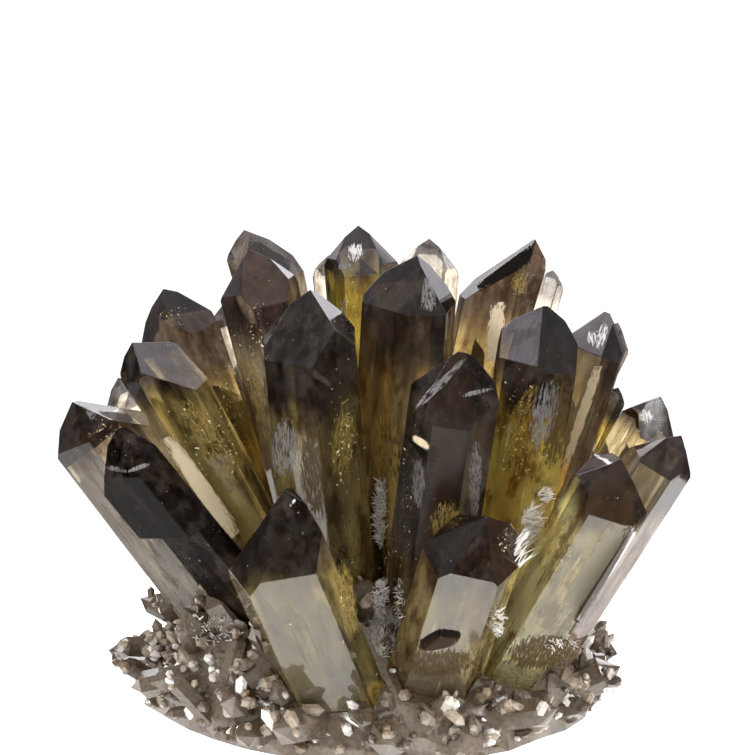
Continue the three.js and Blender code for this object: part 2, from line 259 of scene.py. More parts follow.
LOOKS = {
    # colour of the tip, of the body and of the bright patches
    "jet": ((0.02, 0.016, 0.015), (0.07, 0.045, 0.028), (0.16, 0.10, 0.05)),
    "morion": ((0.045, 0.035, 0.032), (0.14, 0.09, 0.045), (0.36, 0.25, 0.10)),
    "smoke": ((0.10, 0.08, 0.07), (0.32, 0.28, 0.23), (0.55, 0.50, 0.42)),
    "brown": ((0.06, 0.045, 0.038), (0.30, 0.21, 0.11), (0.66, 0.50, 0.24)),
    "olive": ((0.06, 0.048, 0.04), (0.30, 0.235, 0.09), (0.62, 0.50, 0.18)),
    "gold": ((0.065, 0.045, 0.035), (0.40, 0.29, 0.11), (0.90, 0.72, 0.32)),
    "amber": ((0.055, 0.04, 0.032), (0.78, 0.56, 0.12), (1.0, 0.82, 0.20)),
    "citrine": ((0.08, 0.055, 0.045), (0.66, 0.60, 0.26), (0.92, 0.87, 0.48)),
    "honey": ((0.07, 0.055, 0.05), (0.26, 0.19, 0.03), (0.50, 0.42, 0.06)),
    "tan": ((0.08, 0.055, 0.05), (0.48, 0.36, 0.19), (0.88, 0.76, 0.52)),
    "rose": ((0.07, 0.05, 0.045), (0.42, 0.28, 0.19), (0.82, 0.68, 0.54)),
    "clear": ((0.50, 0.47, 0.46), (0.78, 0.73, 0.67), (0.95, 0.91, 0.84)),
}
print(len(AXES), "nodes,", len(LOOKS), "looks")

# %% [markdown]
# A crystal edge is never a perfect line: it is a hair round, and that hair is what catches the
# light. So each solid is copied, its loose triangles are merged, flat faces are made whole, and
# every edge gets a narrow bevel.

# %% Copies with rounded edges
BEVEL = 0.12 * MM
BEVEL_STEPS = 2
SHARP = math.radians(12)
ONE_PLANE = math.radians(0.5)
SAME_PLACE = 0.01 * MM


def select_only(piece):
    if bpy.context.object and bpy.context.object.mode != "OBJECT":
        bpy.ops.object.mode_set(mode="OBJECT")
    bpy.ops.object.select_all(action="DESELECT")
    piece.select_set(True)
    bpy.context.view_layer.objects.active = piece


def copy_of(node, name):
    """A free copy of a solid, merged into one skin with whole faces."""
    select_only(nodes[node])
    bpy.ops.object.duplicate()
    piece = bpy.context.object
    piece.name = name
    piece.parent = None
    for key in list(piece.keys()):
        del piece[key]
    piece.data.materials.clear()
    bpy.ops.object.mode_set(mode="EDIT")
    bpy.ops.mesh.select_all(action="SELECT")
    bpy.ops.mesh.remove_doubles(threshold=SAME_PLACE)
    bpy.ops.mesh.dissolve_limited(angle_limit=ONE_PLANE)
    bpy.ops.object.mode_set(mode="OBJECT")
    return piece


def round_edges(piece):
    select_only(piece)
    bpy.ops.object.modifier_add(type="BEVEL")
    bevel = piece.modifiers[-1]
    bevel.width = BEVEL
    bevel.segments = BEVEL_STEPS
    bevel.limit_method = "ANGLE"
    bevel.angle_limit = SHARP
    bpy.ops.object.modifier_apply(modifier=bevel.name)


crystals = {}
for name in AXES:
    piece = copy_of("crystal_" + name, "quartz_" + name)
    round_edges(piece)
    crystals[name] = piece
print(len(crystals), "crystals,", sum(len(c.data.polygons) for c in crystals.values()), "faces")

# %% [markdown]
# Colour and grain follow each crystal's own axis, so every corner of its mesh stores where it
# lies: the first two numbers across the axis and the third down from the tip. A second mark says
# whether a face belongs to the point or to the long sides. A third says how frosted it is: a few
# crystals have long faces that were etched dull and hardly mirror the table.

# %% Grain along each axis
def grain_of(point, axes):
    """Where a point lies from the nearest of the axes, with the axis itself."""
    best = None
    for tip, foot in axes:
        tip = Vector(tip) * MM
        foot = Vector(foot) * MM
        down = (foot - tip).normalized()
        across = down.orthogonal().normalized()
        third = down.cross(across)
        off = point - tip
        depth = off.dot(down)
        away = (off - down * depth).length
        if best is None or away < best[0]:
            best = (away, (off.dot(across), off.dot(third), depth), down)
    return best[1], best[2]


# How frosted the long faces are that look to the front.
FROSTED = {"left_low_front": 0.6, "middle_grey": 0.4}
TO_FRONT = Vector((0, -1, 0))
# Cosines: a face of the point leans so far from the axis, and a long face looks so far forward.
POINTED = 0.3
FACING = 0.6

for name, piece in crystals.items():
    axes = [AXES[name][:2]]
    if name in SECOND_AXES:
        axes.append(SECOND_AXES[name])
    mesh = piece.data
    grain = mesh.attributes.new("grain", "FLOAT_VECTOR", "CORNER")
    on_point = mesh.attributes.new("on_point", "FLOAT", "FACE")
    frost = mesh.attributes.new("frost", "FLOAT", "FACE")
    for face in mesh.polygons:
        spot, down = grain_of(face.center, axes)
        pointed = abs(face.normal.dot(down)) > POINTED
        on_point.data[face.index].value = 1.0 if pointed else 0.0
        if not pointed and face.normal.dot(TO_FRONT) > FACING:
            frost.data[face.index].value = FROSTED.get(name, 0.0)
        nearest = min(axes, key=lambda axis: Vector(grain_of(face.center, [axis])[0]).xy.length_squared)
        for corner in face.loop_indices:
            vertex = mesh.vertices[mesh.loops[corner].vertex_index].co
            grain.data[corner].vector = grain_of(vertex, [nearest])[0]
print("grain stored on", len(crystals), "crystals")

# %% [markdown]
# No two facets of a specimen look alike: one mirrors the bright table and looks silvery, its neighbour
# mirrors the dark room and looks jet black. Here those reflections are painted into the colour. The facets
# that stand out in the photograph are listed by a pixel inside each, with a named colour of painted
# reflection and how strongly it covers the stone. A BVH tree of a mesh tells which facet a line of sight
# meets there.

# %% Facets with painted reflections
FRAME = 755
FOCAL = LENS / SENSOR * FRAME
upward = Vector((0, math.sin(ELEVATION), math.cos(ELEVATION)))


def sight(across, down):
    """The direction in which the camera looks at a pixel of the photograph."""
    return (-back * FOCAL + Vector((across - FRAME / 2, 0, 0)) + upward * (FRAME / 2 - down)).normalized()


def tree_of(pieces):
    corners = []
    faces = []
    for piece in pieces:
        first = len(corners)
        corners += [vertex.co.copy() for vertex in piece.data.vertices]
        faces += [[first + index for index in face.vertices] for face in piece.data.polygons]
    return BVHTree.FromPolygons(corners, faces)


# Painted reflections: the pale colours paint the bright table and backdrop mirrored in a facet; slate,
# rust, umber and jet paint the dark room.
PAINTED_FACET_REFLECTIONS = {
    "white": (1.0, 0.98, 0.96),
    "silver": (0.62, 0.60, 0.62),
    "lilac": (0.40, 0.36, 0.42),
    "slate": (0.20, 0.18, 0.20),
    "cream": (0.95, 0.78, 0.52),
    "gold": (0.90, 0.66, 0.16),
    "haze": (0.33, 0.29, 0.22),
    "rust": (0.26, 0.17, 0.13),
    "umber": (0.12, 0.07, 0.045),
    "jet": (0.02, 0.017, 0.016),
}
PAINTED_FACETS = [
    ("right_amber", (515, 345), "lilac", 0.8),
    ("right_amber", (557, 350), "jet", 0.9),
    ("right_high_striped", (588, 338), "lilac", 0.8),
    ("right_high_striped", (614, 352), "jet", 0.9),
    ("right_high_striped", (583, 400), "cream", 0.8),
    ("right_high_striped", (600, 395), "umber", 0.7),
    ("left_low_outer", (100, 435), "umber", 0.7),
    ("left_low_outer", (112, 408), "silver", 0.6),
    ("left_golden", (165, 360), "slate", 0.8),
    ("left_high_back", (262, 248), "jet", 0.9),
    ("left_high_brown", (175, 297), "slate", 0.6),
    ("left_high_brown", (185, 325), "jet", 0.7),
    ("right_low_front", (590, 470), "lilac", 0.7),
    ("right_low_front", (618, 495), "umber", 0.8),
    ("right_low_pale", (645, 425), "slate", 0.8),
    ("right_low_outer", (645, 480), "cream", 0.5),
    ("right_high_brown", (530, 262), "umber", 0.7),
    ("right_high_brown", (468, 330), "umber", 0.6),
    ("top_yellow", (357, 250), "slate", 0.7),
    ("top_yellow", (353, 310), "umber", 0.5),
    ("front_left", (248, 575), "jet", 0.6),
    ("front_left", (300, 620), "haze", 0.75),
    ("front_right", (465, 620), "haze", 0.8),
    ("right_low_front", (580, 580), "haze", 0.6),
    ("front_right", (448, 550), "jet", 0.8),
    ("front_right", (495, 550), "umber", 0.8),
    ("front_right", (417, 610), "umber", 0.6),
    ("middle_grey", (470, 385), "umber", 0.5),
    ("middle_grey", (445, 490), "umber", 0.6),
    ("left_low_front", (130, 500), "jet", 0.95),
    ("left_high_tan", (262, 290), "rust", 0.7),
    ("left_high_tan", (285, 270), "slate", 0.6),
]
crystal_trees = {name: tree_of([piece]) for name, piece in crystals.items()}


def met_by(name, pixel):
    """Where the line of sight through a pixel meets a crystal: place, normal and face number."""
    place, normal, index, _ = crystal_trees[name].ray_cast(camera.location, sight(*pixel))
    return place, normal, index


for piece in crystals.values():
    unmarked = piece.data.attributes.new("facet", "FLOAT_COLOR", "CORNER")
    unmarked.data.foreach_set("color", [0.0] * 4 * len(piece.data.loops))
# Each listed facet gets its painted reflection as a corner colour, with how much it covers in alpha.
for name, pixel, skin, cover in PAINTED_FACETS:
    place, normal, index = met_by(name, pixel)
    if place is None:
        print("no facet at", name, pixel)
        continue
    mesh = crystals[name].data
    for corner in mesh.polygons[index].loop_indices:
        mesh.attributes["facet"].data[corner].color = (*PAINTED_FACET_REFLECTIONS[skin], cover)
print(len(PAINTED_FACETS), "facets marked")

# %% [markdown]
# Smoky quartz fades: radiation darkened the points most, and the foot stayed golden. A node group makes
# that fade once, with named inputs, so that every crystal can bring its own colours and seed. Streaks
# along the grain and a few bright patches break it up, as growth bands do, and small golden and white
# specks in it are painted glints. The group also lays the painted reflections of single facets over the
# stone.

# %% The fading colour as a node group
def new_group(name, inputs, outputs):
    group = bpy.data.node_groups.new(name, "ShaderNodeTree")
    for title, kind in inputs:
        group.interface.new_socket(name=title, in_out="INPUT", socket_type="NodeSocket" + kind)
    for title, kind in outputs:
        group.interface.new_socket(name=title, in_out="OUTPUT", socket_type="NodeSocket" + kind)
    return group, group.nodes.new("NodeGroupInput"), group.nodes.new("NodeGroupOutput")


def stored(tree, name):
    """The node that reads what a mesh stores under a name."""
    return add_node(tree, "ShaderNodeAttribute", attribute_name=name)


def moved_by_seed(tree, inputs):
    """The grain vector of this crystal, moved far enough by its seed to meet other noise."""
    grain = stored(tree, "grain").outputs["Vector"]
    moved = add_node(tree, "ShaderNodeVectorMath", operation="ADD")
    wire(tree, (grain, moved.inputs[0]),
         (inputs.outputs["Seed"], moved.inputs[1]))
    return grain, moved.outputs[0]


def stretched_noise(tree, vector, stretch, scale, detail=2.0, grain=0.5):
    """Noise on a vector that is stretched along its axes, the value from 0 to 1."""
    mapping = add_node(tree, "ShaderNodeMapping", Scale=stretch)
    noise = add_node(tree, "ShaderNodeTexNoise", Scale=scale, Detail=detail, Roughness=grain)
    wire(tree, (vector, mapping.inputs["Vector"]),
         (mapping.outputs[0], noise.inputs["Vector"]))
    return noise.outputs["Fac"]


def ramp_between(tree, value, low, high):
    ranged = add_node(tree, "ShaderNodeMapRange", interpolation_type="SMOOTHSTEP",
                      **{"From Min": low, "From Max": high})
    tree.links.new(value, ranged.inputs["Value"])
    return ranged.outputs["Result"]


def mixed(tree, factor, first, second, blend="MIX"):
    mix = add_node(tree, "ShaderNodeMix", data_type="RGBA", blend_type=blend)
    tree.links.new(factor, mix.inputs[0])
    for socket, value in ((mix.inputs[6], first), (mix.inputs[7], second)):
        if isinstance(value, tuple):
            socket.default_value = (*value, 1)
        else:
            tree.links.new(value, socket)
    return mix.outputs[2]


def reckoned(tree, operation, *values):
    """A sum on values that are sockets or plain numbers."""
    node = add_node(tree, "ShaderNodeMath", operation=operation)
    for socket, value in zip(node.inputs, values):
        if isinstance(value, float):
            socket.default_value = value
        else:
            tree.links.new(value, socket)
    return node.outputs[0]


def product(tree, first, second):
    return reckoned(tree, "MULTIPLY", first, second)


def specks(tree, vector, stretch, scale, size, rare):
    """Small separate grains, 1 inside a grain and 0 between them, in some of the cells only."""
    mapping = add_node(tree, "ShaderNodeMapping", Scale=stretch)
    cells = add_node(tree, "ShaderNodeTexVoronoi", Scale=scale)
    wire(tree, (vector, mapping.inputs["Vector"]),
         (mapping.outputs[0], cells.inputs["Vector"]))
    near = ramp_between(tree, cells.outputs["Distance"], size, size * 0.4)
    lucky = add_node(tree, "ShaderNodeSeparateColor")
    tree.links.new(cells.outputs["Color"], lucky.inputs[0])
    return product(tree, near, ramp_between(tree, lucky.outputs[0], rare, rare + 0.02))


zoning, inputs, outputs = new_group(
    "smoky zoning",
    [("Tip", "Color"), ("Body", "Color"), ("Patch", "Color"), ("Dark Length", "Float"), ("Seed", "Float")],
    [("Colour", "Color")])
grain, moved = moved_by_seed(zoning, inputs)
depth = add_node(zoning, "ShaderNodeSeparateXYZ")
zoning.links.new(grain, depth.inputs[0])
share = reckoned(zoning, "DIVIDE", depth.outputs["Z"], inputs.outputs["Dark Length"])
cloud = stretched_noise(zoning, moved, (1, 1, 0.4), 90, 3.0)
faded = ramp_between(zoning, reckoned(zoning, "ADD", share, cloud), 1.2, 1.75)

# The dark tips are not one black: greyer clouds drift in them.
smoke = ramp_between(zoning, stretched_noise(zoning, moved, (1, 1, 0.7), 190, 5.0, 0.68), 0.42, 0.66)
tip = mixed(zoning, product(zoning, smoke, 0.4), inputs.outputs["Tip"], (0.26, 0.21, 0.18))
colour = mixed(zoning, faded, tip, inputs.outputs["Body"])
patches = ramp_between(zoning, stretched_noise(zoning, moved, (1, 1, 0.3), 130, 5.0, 0.62), 0.42, 0.64)
colour = mixed(zoning, product(zoning, patches, faded), colour, inputs.outputs["Patch"])

# Brown clouds, long dark and bright streaks and fine golden specks break up the body; the specks are
# painted glints.
brown = ramp_between(zoning, stretched_noise(zoning, moved, (1, 1, 0.5), 170, 5.0, 0.70), 0.40, 0.62)
colour = mixed(zoning, product(zoning, brown, 0.9), colour,
               mixed(zoning, brown, colour, (0.26, 0.18, 0.13), "MULTIPLY"))
streaks = ramp_between(zoning, stretched_noise(zoning, moved, (1, 1, 0.06), 420, 4.0, 0.6), 0.46, 0.66)
colour = mixed(zoning, product(zoning, streaks, 0.7), colour,
               mixed(zoning, streaks, colour, (0.22, 0.17, 0.13), "MULTIPLY"))
# Painted glints: small golden-white specks in the body's colour.
painted_glints = specks(zoning, moved, (1, 1, 0.12), 330, 0.16, 0.72)
colour = mixed(zoning, product(zoning, product(zoning, painted_glints, faded), 0.9), colour, (1.0, 0.94, 0.72))

# Some facets get a painted reflection over the stone, bright where the facet mirrors the table and dark
# where it mirrors the room, mottled and streaked along the axis.
# This mask lays the painted facet reflections over the stone.
facet = stored(zoning, "facet")
mottle = ramp_between(zoning, stretched_noise(zoning, moved, (1, 1, 0.15), 260, 4.0, 0.65), 0.66, 0.36)
own = reckoned(zoning, "MULTIPLY_ADD", mottle, 0.5, 0.5)
skin = product(zoning, facet.outputs["Alpha"], own)
colour = mixed(zoning, skin, colour, facet.outputs["Color"])
# Painted glints: fine white specks on every face.
grit_and_glints = specks(zoning, moved, (1, 1, 0.7), 420, 0.09, 0.86)
colour = mixed(zoning, product(zoning, grit_and_glints, 0.8), colour, (0.95, 0.90, 0.84))
zoning.links.new(colour, outputs.inputs["Colour"])
print("group", zoning.name, "has", len(zoning.nodes), "nodes")

# %% [markdown]
# The long faces of quartz carry fine lines straight across them, where the crystal grew in
# steps, and the faces of the point are smoother, with shallow hillocks. Both are far too fine to
# model, so a second group turns them into a bump.

# %% The growth lines as a node group
relief, inputs, outputs = new_group(
    "growth lines", [("Lines", "Float"), ("Seed", "Float")], [("Normal", "Vector")])
grain, moved = moved_by_seed(relief, inputs)
on_point = stored(relief, "on_point").outputs["Fac"]
lines = stretched_noise(relief, moved, (0.05, 0.05, 1), 420, 1.0)
hillocks = stretched_noise(relief, moved, (1, 1, 1), 200, 1.0)
kind = add_node(relief, "ShaderNodeMix", data_type="FLOAT")
wire(relief, (on_point, kind.inputs[0]),
     (lines, kind.inputs[2]),
     (hillocks, kind.inputs[3]))
waves = stretched_noise(relief, moved, (1, 1, 0.5), 60, 1.0)
height = reckoned(relief, "MULTIPLY_ADD", waves, 2.5, kind.outputs[0])
bump = add_node(relief, "ShaderNodeBump", Distance=0.06 * MM)
wire(relief, (inputs.outputs["Lines"], bump.inputs["Strength"]),
     (height, bump.inputs["Height"]),
     (bump.outputs[0], outputs.inputs["Normal"]))
print("group", relief.name, "has", len(relief.nodes), "nodes")

# %% [markdown]
# Natural faces are not all polished. Some are etched dull in places, and fine scratches cross
# them. A third group gives the roughness: nearly none, more in cloudy patches, and most in
# small frosted grains.

# %% The etched patches as a node group
etching, inputs, outputs = new_group(
    "etching", [("Polish", "Float"), ("Etched", "Float"), ("Seed", "Float")], [("Roughness", "Float")])
grain, moved = moved_by_seed(etching, inputs)
frost = stored(etching, "frost").outputs["Fac"]
dull = ramp_between(etching, stretched_noise(etching, moved, (1, 1, 0.6), 120, 3.0), 0.46, 0.70)
grains = specks(etching, moved, (1, 1, 0.7), 420, 0.09, 0.86)
most = reckoned(etching, "MAXIMUM", dull, grains)
frosted = reckoned(etching, "MAXIMUM", most, frost)
rough = add_node(etching, "ShaderNodeMapRange", **{"From Min": 0.0, "From Max": 1.0})
wire(etching, (frosted, rough.inputs["Value"]),
     (inputs.outputs["Polish"], rough.inputs["To Min"]),
     (inputs.outputs["Etched"], rough.inputs["To Max"]),
     (rough.outputs["Result"], outputs.inputs["Roughness"]))
print("group", etching.name, "has", len(etching.nodes), "nodes")

# %% [markdown]
# Quartz bends light by 1.544 and is clear, so the crystals are plain transmission with that
# index, a little surface tint from the zoning group, and an absorption inside that takes blue
# first and red last. That is what turns thick smoky quartz from tan to brown to black.

# %% The crystals' materials
QUARTZ_IOR = 1.544
CLEAR_SHARE = 0.76
ABSORBING = 50
LET_THROUGH = (0.60, 0.53, 0.24, 1)
LINE_DEPTH = 0.2
POLISH = 0.03
ETCHED = 0.16
ETCHED_FROSTED = 0.42
SEED_STEP = 0.37
# Crystals whose etched skin mirrors less than clean quartz, which a lower index stands for.
DULL_SKINS = {
    "left_low_front": 1.05, "left_high_back": 1.12, "right_high_brown": 1.15, "left_low_outer": 1.3,
    "left_golden": 1.35, "left_high_brown": 1.25, "middle_grey": 1.2, "right_low_pale": 1.3,
}


def quartz(name, look, dark_length, number):
    tip, body, patch = LOOKS[look]
    material = bpy.data.materials.new("quartz " + name)
    tree = new_tree(material)
    seed = number * SEED_STEP
    zones = add_node(tree, "ShaderNodeGroup", node_tree=zoning, Tip=(*tip, 1), Body=(*body, 1),
                     Patch=(*patch, 1), Seed=seed)
    zones.inputs["Dark Length"].default_value = dark_length * MM
    lines = add_node(tree, "ShaderNodeGroup", node_tree=relief, Lines=LINE_DEPTH, Seed=seed)
    etched = add_node(tree, "ShaderNodeGroup", node_tree=etching, Polish=POLISH,
                      Etched=ETCHED_FROSTED if name in FROSTED else ETCHED, Seed=seed)
    shader = add_node(tree, "ShaderNodeBsdfPrincipled", IOR=DULL_SKINS.get(name, QUARTZ_IOR))
    shader.inputs["Transmission Weight"].default_value = CLEAR_SHARE
    inside = add_node(tree, "ShaderNodeVolumeAbsorption", Density=ABSORBING, Color=LET_THROUGH)
    output = add_node(tree, "ShaderNodeOutputMaterial")
    wire(tree, (zones.outputs["Colour"], shader.inputs["Base Color"]),
         (lines.outputs["Normal"], shader.inputs["Normal"]),
         (etched.outputs["Roughness"], shader.inputs["Roughness"]),
         (shader.outputs[0], output.inputs["Surface"]),
         (inside.outputs[0], output.inputs["Volume"]))
    return material


for number, (name, piece) in enumerate(crystals.items()):
    look, dark_length = AXES[name][2:]
    piece.data.materials.append(quartz(name, look, dark_length, number))
    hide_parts("crystal_" + name)
    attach(piece, "root")
print("materials:", len(bpy.data.materials))

# %% [markdown]
# Thin sheets of colour lie on the facets, parallel to them, and most of them are painted light: white ones
# are painted highlights and bright edge lines, silver and mist ones a painted reflection of the table,
# cream ones the bright backdrop painted as if seen through the glass, and smoke, umber and jet ones
# painted shade. Gold ones are the stone's golden colour with a painted glow of light through it; tan and
# straw ones are dark brown and pale mottling. Each is a plane primitive whose corners are pulled to four
# pixels of the photograph, on the facet that is met there. It lies a hair above the glass, where it stays
# crisp. A mask of noise along the sheet frays it to feathers, and the least noise that shows differs by
# colour.

# %% Painted sheets on the facets
SHEET_LIFT = 0.02 * MM
SHEET_THICKNESS = 0.03 * MM
# White paints highlights and bright edge lines, silver and mist paint the mirrored table, cream the bright
# backdrop seen through the glass, and smoke, umber and jet paint shade; gold is the stone's golden colour
# with a painted glow of light through it, tan and straw are dark brown and pale mottling.
SHEET_LIGHT_AND_TINTS = {
    # colour, the least noise that shows, and how much it covers there
    "white": ((0.60, 0.59, 0.58), 0.10, 0.75),
    "silver": ((0.20, 0.19, 0.195), 0.0, 0.6),
    "cream": ((0.70, 0.58, 0.40), -0.4, 0.9),
    "tan": ((0.075, 0.048, 0.022), -0.1, 0.7),
    "gold": ((0.36, 0.25, 0.06), 0.10, 0.5),
    "straw": ((0.40, 0.35, 0.17), -0.3, 0.5),
    "mist": ((0.30, 0.275, 0.22), -0.5, 0.6),
    "smoke": ((0.05, 0.045, 0.045), -0.6, 0.65),
    "umber": ((0.03, 0.018, 0.01), -0.5, 0.7),
    "jet": ((0.008, 0.007, 0.006), -0.6, 0.95),
}
PAINTED_SHEETS = [
    # The colour, the crystal, and the corners: two at the top, then two at the bottom. A sheet whose
    # middle meets no facet is left out, and its line keeps the other sheets' numbers.
    ("silver", "middle_tall_dark", (272, 420), (297, 416), (300, 476), (270, 480)),
    ("gold", "middle_tall_dark", (334, 408), (358, 408), (352, 478), (326, 478)),
    ("tan", "middle_tall_dark", (298, 424), (324, 424), (332, 520), (302, 520)),
    ("gold", "left_high_brown", (214, 362), (232, 362), (248, 462), (226, 466)),
    ("white", "top_yellow", (348, 240), (366, 243), (362, 264), (346, 262)),
    ("silver", "top_brown", (424, 272), (432, 272), (440, 312), (419, 312)),
    ("gold", "right_high_brown", (514, 268), (530, 268), (526, 296), (510, 296)),
    ("cream", "right_high_brown", (490, 302), (507, 302), (500, 362), (484, 362)),
    ("white", "right_high_striped", (586, 330), (596, 330), (598, 347), (586, 345)),
    ("white", "right_high_striped", (600, 322), (611, 322), (602, 352), (592, 350)),
    ("silver", "middle_grey", (462, 356), (469, 360), (419, 412), (411, 406)),
    ("silver", "middle_grey", (462, 393), (494, 386), (494, 390), (462, 399)),
    ("silver", "middle_grey", (412, 458), (426, 456), (424, 510), (412, 512)),
    ("silver", "middle_grey", (468, 441), (484, 441), (480, 520), (468, 522)),
    ("cream", "middle_grey", (414, 434), (430, 443), (428, 451), (412, 441)),
    ("jet", "middle_grey", (402, 432), (412, 440), (428, 453), (422, 458)),
    ("gold", "middle_grey", (428, 500), (468, 500), (470, 548), (426, 548)),
    ("gold", "right_amber", (526, 384), (544, 384), (518, 442), (496, 440)),
    ("silver", "right_amber", (538, 380), (566, 379), (548, 450), (524, 450)),
    ("gold", "right_amber", (498, 432), (530, 432), (526, 478), (496, 478)),
    ("tan", "right_amber", (550, 384), (575, 384), (560, 470), (540, 470)),
    ("cream", "left_low_front", (153, 432), (160, 440), (161, 454), (155, 446)),
    ("silver", "left_low_outer", (84, 408), (98, 413), (94, 420), (88, 420)),
    ("white", "right_low_pale", (640, 408), (654, 410), (652, 424), (644, 428)),
    ("gold", "left_golden", (188, 354), (206, 360), (206, 372), (194, 370)),
    ("cream", "left_golden", (160, 440), (174, 434), (242, 530), (228, 542)),
    ("jet", "front_right", (419, 640), (440, 628), (441, 637), (422, 652)),
    ("jet", "front_right", (438, 628), (461, 631), (460, 640), (438, 637)),
    ("umber", "front_right", (418, 642), (460, 633), (457, 646), (420, 653)),
    ("tan", "front_right", (400, 652), (474, 646), (480, 676), (396, 678)),
    ("umber", "right_low_front", (629, 532), (638, 527), (581, 624), (572, 620)),
    ("jet", "right_high_brown", (476, 285), (533, 243), (532, 262), (480, 292)),
    ("silver", "left_low_front", (132, 427), (151, 427), (154, 450), (141, 434)),
    ("silver", "left_low_front", (105, 464), (128, 469), (128, 474), (106, 470)),
    ("silver", "left_low_front", (128, 469), (150, 461), (151, 466), (128, 474)),
    ("silver", "top_yellow", (338, 262), (352, 262), (352, 270), (336, 270)),
    ("gold", "top_brown", (368, 400), (404, 400), (400, 560), (372, 560)),
    ("gold", "top_brown", (380, 470), (410, 470), (408, 570), (382, 570)),
    ("smoke", "left_high_back", (250, 236), (292, 262), (288, 276), (246, 258)),
    ("smoke", "left_low_outer", (96, 411), (128, 413), (137, 424), (112, 421)),
    ("gold", "left_golden", (214, 384), (228, 380), (276, 490), (262, 498)),
    ("cream", "right_high_striped", (593, 366), (604, 366), (570, 466), (560, 466)),
    ("straw", "right_low_front", (514, 572), (544, 560), (524, 640), (506, 630)),
    ("tan", "right_low_front", (512, 634), (582, 636), (568, 670), (500, 668)),
    ("mist", "right_low_front", (606, 524), (635, 526), (580, 612), (552, 618)),
    ("white", "front_left", (289, 504), (296, 497), (297, 500), (290, 508)),
    ("white", "front_left", (296, 497), (323, 512), (322, 515), (296, 500)),
    ("gold", "left_high_tan", (240, 350), (256, 350), (272, 450), (262, 452)),
    ("gold", "left_golden", (170, 400), (200, 396), (250, 480), (225, 500)),
    ("gold", "front_left", (334, 560), (352, 560), (362, 640), (342, 645)),
    ("gold", "right_low_front", (545, 505), (570, 505), (552, 560), (528, 562)),
]


def new_painted_sheet(name, pixels, number):
    """A thin sheet just above a facet, with its own size stored for the noise on it."""
    middle = tuple(sum(values) / len(values) for values in zip(*pixels))
    place, normal, _ = met_by(name, middle)
    if place is None:
        print("no veil at", name, middle)
        return None
    select_only(crystals[name])
    bpy.ops.mesh.primitive_plane_add()
    painted_sheet = bpy.context.object
    mesh = painted_sheet.data
    spot = mesh.attributes.new("spot", "FLOAT_VECTOR", "CORNER")
    edge = mesh.attributes.new("edge", "FLOAT_VECTOR", "CORNER")
    # The primitive's corners run left to right in its first row, then in its second.
    for vertex, pixel in zip(mesh.vertices, (pixels[3], pixels[2], pixels[0], pixels[1])):
        aim = sight(*pixel)
        reach = (place - camera.location).dot(normal) / aim.dot(normal)
        vertex.co = camera.location + aim * reach + normal * SHEET_LIFT
    bottom_left, bottom_right, top_left, top_right = (vertex.co.copy() for vertex in mesh.vertices)
    width = (bottom_right - bottom_left).length
    height = (top_left - bottom_left).length
    for loop in mesh.loops:
        u = loop.vertex_index % 2
        v = loop.vertex_index // 2
        spot.data[loop.index].vector = (u * width, v * height, number * SEED_STEP)
        edge.data[loop.index].vector = (u, v, 0)
    bpy.ops.object.modifier_add(type="SOLIDIFY")
    painted_sheet.modifiers[-1].thickness = SHEET_THICKNESS
    bpy.ops.object.modifier_apply(modifier=painted_sheet.modifiers[-1].name)
    return painted_sheet


feathers, inputs, outputs = new_group(
    "feathers", [("Least", "Float"), ("Cover", "Float")], [("Mask", "Float")])
spot = stored(feathers, "spot").outputs["Vector"]
edge = stored(feathers, "edge").outputs["Vector"]
far = add_node(feathers, "ShaderNodeVectorMath", operation="DISTANCE")
far.inputs[1].default_value = (0.5, 0.5, 0)
feathers.links.new(edge, far.inputs[0])
wisps = ramp_between(feathers, stretched_noise(feathers, spot, (1, 0.2, 1), 1900, 4.0, 0.66), 0.34, 0.68)
rim = ramp_between(feathers, far.outputs["Value"], 0.30, 0.70)
frayed = reckoned(feathers, "SUBTRACT", wisps, rim)
above = reckoned(feathers, "SUBTRACT", frayed, inputs.outputs["Least"])
shown = product(feathers, ramp_between(feathers, above, 0.0, 0.6), inputs.outputs["Cover"])
feathers.links.new(shown, outputs.inputs["Mask"])


def painted_sheet_material(skin):
    material = bpy.data.materials.new("veil " + skin)
    tree = new_tree(material)
    colour, least, cover = SHEET_LIGHT_AND_TINTS[skin]
    mask = add_node(tree, "ShaderNodeGroup", node_tree=feathers, Least=least, Cover=cover)
    shader = add_node(tree, "ShaderNodeBsdfPrincipled", Roughness=0.4)
    shader.inputs["Specular IOR Level"].default_value = 0.5 if skin in ("white", "silver", "gold") else 0.0
    shader.inputs["Base Color"].default_value = (*colour, 1)
    output = add_node(tree, "ShaderNodeOutputMaterial")
    wire(tree, (mask.outputs["Mask"], shader.inputs["Alpha"]),
         (shader.outputs[0], output.inputs["Surface"]))
    return material


def join_all(main, others):
    bpy.ops.object.select_all(action="DESELECT")
    for piece in others:
        piece.select_set(True)
    main.select_set(True)
    bpy.context.view_layer.objects.active = main
    bpy.ops.object.join()


painted_sheets = {}
for number, (skin, name, *pixels) in enumerate(PAINTED_SHEETS):
    painted_sheet = new_painted_sheet(name, pixels, number)
    if painted_sheet:
        painted_sheets.setdefault(skin, []).append(painted_sheet)
for skin, (first, *others) in painted_sheets.items():
    first.name = "painted_sheets_" + skin
    join_all(first, others)
    first.data.materials.append(painted_sheet_material(skin))
    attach(first, "root")
print(sum(len(sheets) for sheets in painted_sheets.values()), "veils in", sorted(painted_sheets))

# %% [markdown]
# The mound under the points is covered with druse: hundreds of small points, jumbled together.
# The solid already has the larger ones. The small ones are all the same crystal in other sizes,
# so one is modelled, as a six-sided cylinder whose top middle is pulled up, and it is copied on
# to the mound wherever a crystal leaves room.

# %% One small point
PRISM = 3
TIP = 1.27


